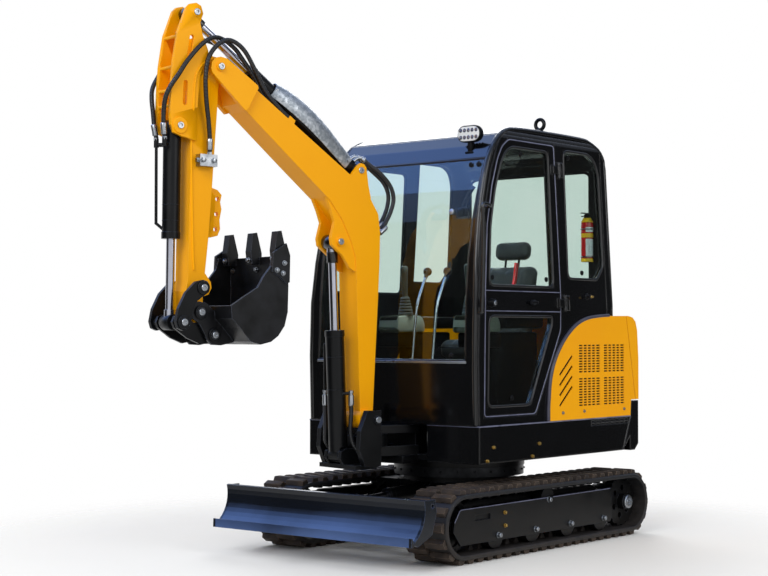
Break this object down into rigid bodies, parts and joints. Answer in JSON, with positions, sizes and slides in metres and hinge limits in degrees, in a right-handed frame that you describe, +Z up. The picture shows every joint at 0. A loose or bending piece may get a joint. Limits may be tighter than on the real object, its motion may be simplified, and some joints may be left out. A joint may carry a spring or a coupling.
{
  "type": "mini excavator",
  "caption": "Compact tracked digger with closed cab, swing boom, arm with curled digging bucket, dozer blade and opening door and engine lid.",
  "frame": {"origin": "middle of the bounding box's floor, at the lug tips the tracks stand on", "axes": "+X to the operator's left, -Y forward to the blade and boom, +Z up"},
  "size_m": [1.436, 3.2702, 2.941],
  "materials": {
    "yellow_paint": "gloss",
    "black_paint": "gloss",
    "frame_paint": "satin",
    "grille_black": "moulded",
    "bearing_steel": "machined",
    "bucket_steel": "worn satin",
    "chrome": "polished",
    "galvanised": "spangled zinc",
    "track_rubber": "matt, dusty",
    "window_glass": "clear, pale green",
    "seat_vinyl": "grained vinyl",
    "grey_plastic": "moulded",
    "dark_plastic": "moulded",
    "lamp_lens": "clear lens over reflector",
    "red_lens": "ribbed lens",
    "red_paint": "gloss",
    "hose_rubber": "matt"
  },
  "bodies": {
    "undercarriage": {"carbody": "frame_paint", "slew_bearing": "bearing_steel", "track_frame_left": "frame_paint", "track_frame_right": "frame_paint", "track_left": "track_rubber", "track_right": "track_rubber", "running_gear_left": "frame_paint", "running_gear_right": "frame_paint"},
    "house": {"upper_frame": "black_paint", "skirts": "black_paint", "counterweight": "black_paint", "hood_left": "yellow_paint", "hood_right": "yellow_paint", "grilles": "grille_black", "engine": "frame_paint", "tail_lamps": "red_lens", "cab_front": "black_paint", "cab_left": "black_paint", "cab_right": "black_paint", "cab_rear": "black_paint", "cab_roof": "black_paint", "cab_floor": "dark_plastic", "cab_glass": "window_glass", "seat": "seat_vinyl", "controls": "grey_plastic", "travel_levers": "dark_plastic", "work_lamp": "lamp_lens", "lifting_eyes": "black_paint", "grab_rail": "black_paint", "extinguisher": "red_paint"},
    "blade": {"blade": "black_paint"},
    "blade_barrel": {"blade_barrel": "black_paint"},
    "blade_rod": {"blade_rod": "chrome"},
    "door": {"door_frame": "black_paint", "door_glass": "window_glass", "door_latch": "chrome"},
    "engine_lid": {"hood_rear": "yellow_paint"},
    "post": {"swing_post": "black_paint"},
    "boom": {"boom": "yellow_paint", "boom_hoses": "hose_rubber", "arm_hoses": "hose_rubber"},
    "boom_barrel": {"boom_barrel": "black_paint", "lift_hoses": "hose_rubber"},
    "boom_rod": {"boom_rod": "chrome"},
    "arm_barrel": {"arm_barrel": "black_paint", "arm_guard": "galvanised"},
    "arm_rod": {"arm_rod": "chrome"},
    "arm": {"arm": "yellow_paint", "hose_block": "galvanised"},
    "bucket_barrel": {"bucket_barrel": "black_paint"},
    "bucket_rod": {"bucket_rod": "chrome"},
    "guide_links": {"guide_links": "black_paint"},
    "bucket_link": {"bucket_link": "black_paint"},
    "bucket": {"bucket": "bucket_steel"}
  },
  "joints": [
    {"name": "slew", "type": "hinge", "parent": "undercarriage", "child": "house", "pos_m": [0, 0.54, 0.456], "axis": [0, 0, 1], "continuous": true},
    {"name": "swing", "type": "hinge", "parent": "house", "child": "post", "pos_m": [0, -0.26, 0.645], "axis": [0, 0, 1], "range_deg": [-38, 74]},
    {"name": "boom", "type": "hinge", "parent": "post", "child": "boom", "pos_m": [-0.02578, -0.38129, 0.759], "axis": [-0.9781, 0.2079, 0], "range_deg": [-100, 5], "deforming": ["lift_hoses"]},
    {"name": "boom_barrel", "type": "hinge", "parent": "post", "child": "boom_barrel", "pos_m": [-0.05011, -0.49573, 0.56], "axis": [-0.9781, 0.2079, 0], "range_deg": [-95.5, 5.25]},
    {"name": "boom_rod", "type": "slide", "parent": "boom_barrel", "child": "boom_rod", "axis": [-0.0081, -0.0382, 0.9992], "range_m": [-0.3476, 0.0193]},
    {"name": "arm", "type": "hinge", "parent": "boom", "child": "arm", "pos_m": [-0.22496, -1.31836, 2.62], "axis": [0.9781, -0.2079, 0], "range_deg": [-80, 15], "deforming": ["arm_hoses", "boom_hoses"]},
    {"name": "arm_barrel", "type": "hinge", "parent": "boom", "child": "arm_barrel", "pos_m": [-0.02952, -0.3989, 2.139], "axis": [-0.9781, 0.2079, 0], "range_deg": [-2.54, 11.4]},
    {"name": "arm_rod", "type": "slide", "parent": "arm_barrel", "child": "arm_rod", "axis": [-0.1701, -0.8001, 0.5753], "range_m": [-0.3331, 0.0641]},
    {"name": "bucket", "type": "hinge", "parent": "arm", "child": "bucket", "pos_m": [-0.25033, -1.43769, 1.343], "axis": [0.9781, -0.2079, 0], "range_deg": [-160, 4]},
    {"name": "guide_links", "type": "hinge", "parent": "arm", "child": "guide_links", "pos_m": [-0.25053, -1.43867, 1.468], "axis": [-0.9781, 0.2079, 0], "range_deg": [-3.02, 101.23]},
    {"name": "bucket_link", "type": "hinge", "parent": "guide_links", "child": "bucket_link", "pos_m": [-0.27465, -1.55213, 1.291], "axis": [-0.9781, 0.2079, 0], "range_deg": [-28.96, 1.21]},
    {"name": "bucket_barrel", "type": "hinge", "parent": "arm", "child": "bucket_barrel", "pos_m": [-0.27216, -1.5404, 2.299], "axis": [-0.9781, 0.2079, 0], "range_deg": [-0.69, 8.09]},
    {"name": "bucket_rod", "type": "slide", "parent": "bucket_barrel", "child": "bucket_rod", "axis": [-0.0025, -0.0116, -0.9999], "range_m": [-0.3154, 0.0098]},
    {"name": "blade", "type": "hinge", "parent": "undercarriage", "child": "blade", "pos_m": [0, 0.1, 0.225], "axis": [-1, 0, 0], "range_deg": [-29, 12]},
    {"name": "blade_barrel", "type": "hinge", "parent": "undercarriage", "child": "blade_barrel", "pos_m": [0, 0.195, 0.33], "axis": [-1, 0, 0], "range_deg": [-23.8, 10.14]},
    {"name": "blade_rod", "type": "slide", "parent": "blade_barrel", "child": "blade_rod", "axis": [0, -0.9985, -0.054], "range_m": [-0.0197, 0.0448]},
    {"name": "door", "type": "hinge", "parent": "house", "child": "door", "pos_m": [0.626, 0.747, 1.4], "axis": [-0.0552, 0, 0.9985], "range_deg": [0, 110]},
    {"name": "engine_lid", "type": "hinge", "parent": "house", "child": "engine_lid", "pos_m": [0, 1.34, 1.316], "axis": [1, 0, 0], "range_deg": [0, 65]}
  ],
  "couplings": [
    {"joint": "boom_barrel", "follows": "boom", "ratio": 0.95},
    {"joint": "boom_rod", "follows": "boom", "m_per_rad": 0.198},
    {"joint": "arm_barrel", "follows": "arm", "ratio": -0.13622},
    {"joint": "arm_rod", "follows": "arm", "m_per_rad": 0.2371},
    {"joint": "guide_links", "follows": "bucket", "ratio": -0.62959},
    {"joint": "bucket_link", "follows": "bucket", "ratio": 0.1779},
    {"joint": "bucket_barrel", "follows": "bucket", "ratio": -0.04746},
    {"joint": "bucket_rod", "follows": "bucket", "m_per_rad": 0.11225},
    {"joint": "blade_barrel", "follows": "blade", "ratio": 0.80342},
    {"joint": "blade_rod", "follows": "blade", "m_per_rad": -0.0846}
  ]
}
